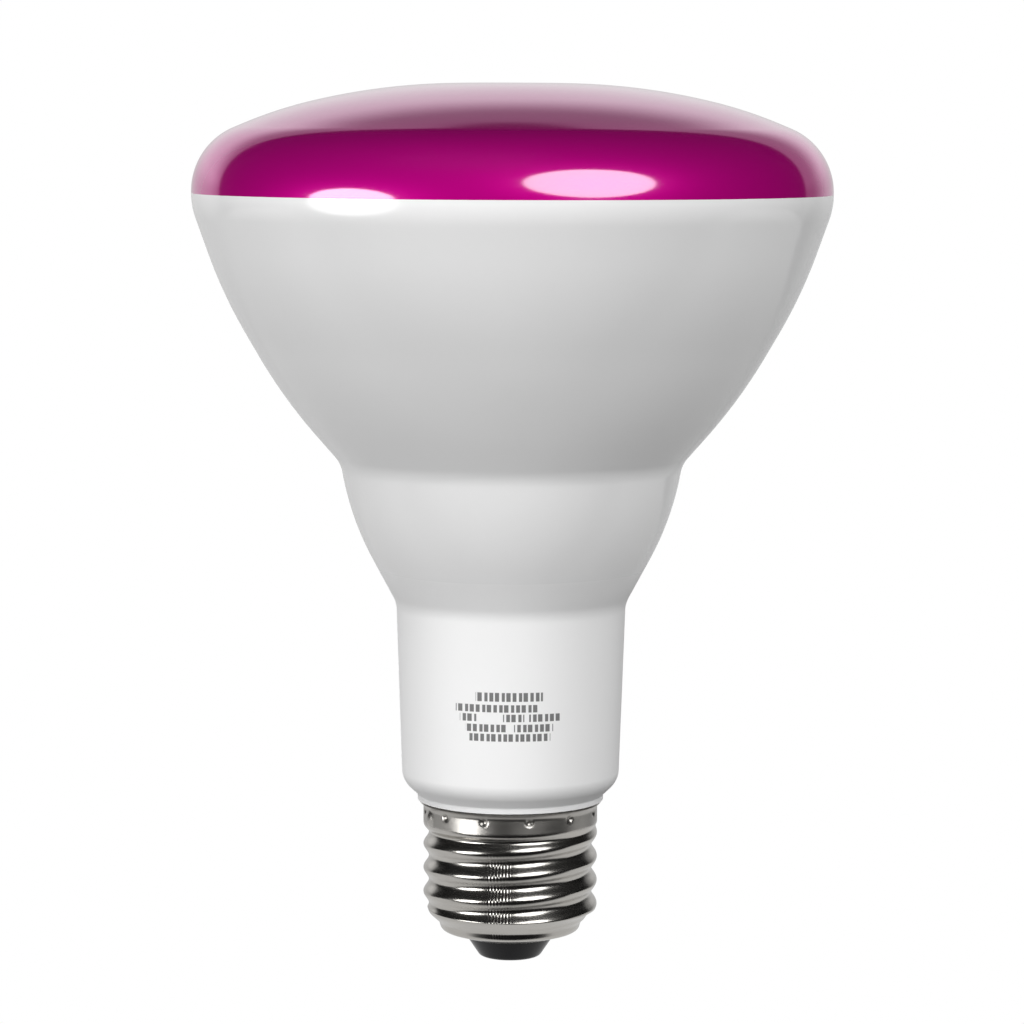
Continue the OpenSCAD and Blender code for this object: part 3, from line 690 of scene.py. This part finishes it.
def markMask(web, place, m):
    x, y, z = (place.part(k) for k in range(3))
    e = m["edge"]

    def between(value, low, high):
        return value.ramp(low - e, low + e) * (1 - value.ramp(high - e, high + e))

    mask = 0
    for i, (drop, tall, left, right) in enumerate(m["rows"]):
        low = seamZ - drop * mm
        step = x / m["blockL"] + m["rowShift"] * i
        wave = (step.maths("FLOOR") * m["unevenTurn"] + i).maths("SINE")
        gap = wave * m["uneven"] + m["gapShare"]
        blocks = (step - step.maths("FLOOR") - gap).ramp(-m["gapEdge"], m["gapEdge"])
        mask = between(z, low, low + tall * mm) * between(x, left * mm, right * mm) * blocks + mask
    return mask * (-y).ramp(0.0, mm) * m["cover"]


def bodyFinish(w):
    def build(web, place):
        cloud = noise(web, place, w["cloudScale"], 4.0)
        neck = 1 - place.part(2).ramp(*(seamZ - drop for drop in w["neckDrop"]))
        paint = tone(web, cloud, w["low"], w["high"])
        printed = web.add("ShaderNodeMix", {"data_type": "RGBA"},
                          {0: markMask(web, place, marks), 6: paint, 7: (*marks["ink"], 1)}, 2)
        return {"Base Color": printed,
                "Roughness": w["haze"] + cloud * w["cloudHaze"] + neck * w["neckHaze"],
                "Normal": bump(web, noise(web, place, w["rippleScale"]), w["ripple"], w["rippleH"])}
    return finish("white_body", build, w["base"], IOR=w["index"])


# Nickel finish: a film drawn out round the sheet, a duller plain band whose tone is also set darker,
# a painted shade on its reflections, and fine upright strokes across the front of the thread
nickelLook = {
    "low": (0.46, 0.445, 0.42), "high": (0.60, 0.58, 0.545), "base": (0.6, 0.58, 0.56),
    "haze": 0.16, "filmHaze": 0.12, "bandHaze": 0.12, "bandEdge": 0.4 * mm,
    "filmScale": 220.0, "filmDraw": 6.0, "grainScale": 700.0, "grain": 0.4,
    "strokes": 0.6, "spacing": 0.5 * mm, "leftDeg": -15, "rightDeg": 0, "sideEdge": 0.03,
    "strokesLow": 5.6 * mm, "strokesHigh": 17.5 * mm, "relief": 0.55, "reliefH": 0.06 * mm,
}


def nickelFinish(k):
    def build(web, place):
        drawn = web.add("ShaderNodeMapping", {},
                        {"Vector": place, "Scale": (1.0, 1.0, k["filmDraw"])})
        film = noise(web, drawn, k["filmScale"], 4.0)
        x, y, z = (place.part(axis) for axis in range(3))
        angle = x.maths("ARCTAN2", -y)
        around = (angle * (shellSize["crestR"] / k["spacing"] * 2 * math.pi)).maths("COSINE")
        left, right = math.radians(k["leftDeg"]), math.radians(k["rightDeg"])
        low, high, side = k["strokesLow"], k["strokesHigh"], k["sideEdge"]
        there = (angle.ramp(left - side, left + side) * (1 - angle.ramp(right - side, right + side))
                 * z.ramp(low - mm, low) * (1 - z.ramp(high, high + mm)))
        bandZ = shellTop - shellSize["band"]
        band = z.ramp(bandZ - k["bandEdge"], bandZ + k["bandEdge"])
        relief = noise(web, place, k["grainScale"]) * k["grain"] + around * there * k["strokes"]
        # The plain band takes the low tone: painted shade that dims its reflections; its added
        # roughness is real
        return {"Base Color": tone(web, film - band, k["low"], k["high"]),
                "Roughness": k["haze"] + film * k["filmHaze"] + band * k["bandHaze"],
                "Normal": bump(web, relief, k["relief"], k["reliefH"])}
    return finish("nickel_sheet", build, k["base"], 1.0)


# A plain finish for the nose and for what is inside: two tones, a grain and a roughness
# that the grain varies
plainLook = {"scale": 250.0, "grainHaze": 0.12, "relief": 0.1, "reliefH": 0.2 * mm}
noseLook = {**plainLook, "scale": 300.0, "relief": 0.08, "haze": 0.14, "sheen": 0.2,
            "low": (0.006, 0.006, 0.007), "high": (0.014, 0.014, 0.015),
            "base": (0.02, 0.02, 0.02)}


def plainFinish(name, look, low, high, base, haze, metallic=0.0, **fixed):
    def build(web, place):
        cloud = noise(web, place, look["scale"])
        return {"Base Color": tone(web, cloud, low, high),
                "Roughness": haze + cloud * look["grainHaze"],
                "Normal": bump(web, cloud, look["relief"], look["reliefH"])}
    return finish(name, build, base, metallic, **fixed)


def noseFinish(n):
    return plainFinish("black_nose", n, n["low"], n["high"], n["base"], n["haze"],
                       **{"Specular IOR Level": n["sheen"]})


# What is inside, each with its two tones, its roughness, how metallic it is and its nodes
innerFinishes = {
    "sealant": ((0.66, 0.66, 0.62), (0.78, 0.78, 0.74), 0.6, 0.0, ["lens_seal"]),
    "contact_brass": ((0.5, 0.4, 0.2), (0.68, 0.56, 0.3), 0.25, 1.0, []),
    "aluminium_sheet": ((0.62, 0.63, 0.64), (0.74, 0.75, 0.76), 0.35, 1.0, ["heat_sink"]),
    "grey_pad": ((0.25, 0.28, 0.31), (0.33, 0.36, 0.4), 0.8, 0.0, ["thermal_pad"]),
    "white_board": ((0.74, 0.75, 0.73), (0.82, 0.83, 0.8), 0.3, 0.0, ["led_board"]),
    "phosphor": ((0.75, 0.6, 0.12), (0.85, 0.72, 0.25), 0.35, 0.0, ["led_packages"]),
    "screw_steel": ((0.5, 0.5, 0.52), (0.66, 0.67, 0.68), 0.3, 1.0, ["board_screws"]),
    "white_moulding": ((0.76, 0.76, 0.72), (0.84, 0.84, 0.8), 0.5, 0.0, ["board_connector"]),
    "red_wire": ((0.42, 0.03, 0.02), (0.56, 0.06, 0.04), 0.45, 0.0, ["led_wires"]),
    "green_board": ((0.02, 0.16, 0.06), (0.05, 0.26, 0.1), 0.35, 0.0, ["driver_board"]),
    "black_moulding": ((0.015, 0.015, 0.016), (0.035, 0.035, 0.036), 0.5, 0.0,
                       ["bridge_rectifier", "driver_chip", "transformer_bobbin"]),
    "blue_coating": ((0.03, 0.1, 0.34), (0.06, 0.16, 0.48), 0.4, 0.0,
                     ["fuse_resistor", "varistor"]),
    "red_moulding": ((0.36, 0.03, 0.02), (0.5, 0.07, 0.04), 0.3, 0.0, ["film_capacitor"]),
    "capacitor_sleeve": ((0.02, 0.02, 0.03), (0.05, 0.05, 0.07), 0.25, 0.0,
                         ["input_capacitor", "output_capacitor"]),
    "ferrite": ((0.04, 0.04, 0.043), (0.08, 0.08, 0.085), 0.6, 0.0,
                ["filter_inductor", "transformer_core"]),
    "copper_winding": ((0.5, 0.2, 0.06), (0.72, 0.36, 0.12), 0.35, 0.6,
                       ["transformer_winding"]),
    "black_wire": ((0.015, 0.015, 0.015), (0.03, 0.03, 0.03), 0.45, 0.0, ["live_wire"]),
    "white_wire": ((0.7, 0.7, 0.68), (0.8, 0.8, 0.78), 0.45, 0.0, ["neutral_wire"]),
}


def dressInside():
    made = {}
    for name, (low, high, roughness, metallic, nodes) in innerFinishes.items():
        made[name] = plainFinish(name, plainLook, low, high, high, roughness, metallic)
        for node in nodes:
            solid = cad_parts[node]
            solid.data.materials.clear()
            solid.data.materials.append(made[name])
    return made


bpy.context.scene.view_settings.view_transform = "Standard"
makeCamera(view)
makeStudio(studio)
print("studio ready")

dressed = dressInside()
fit(makeLens(lensSize), lensFinish(lensLook), "lens")
fit(makeBody(bodySize), bodyFinish(bodyLook), "housing")
print("lens and body turned")

sheetFinish = nickelFinish(nickelLook)
shell = turnedSheet(shellSize)
rollThread(shell, shellSize, sheetFinish)
fit(shell, sheetFinish, "screw_shell")
fit(makeNose(noseSize), noseFinish(noseLook), "base_insulator")
fit(makeContact(contactSize), dressed["contact_brass"], "centre_contact")
print("screw cap rolled")
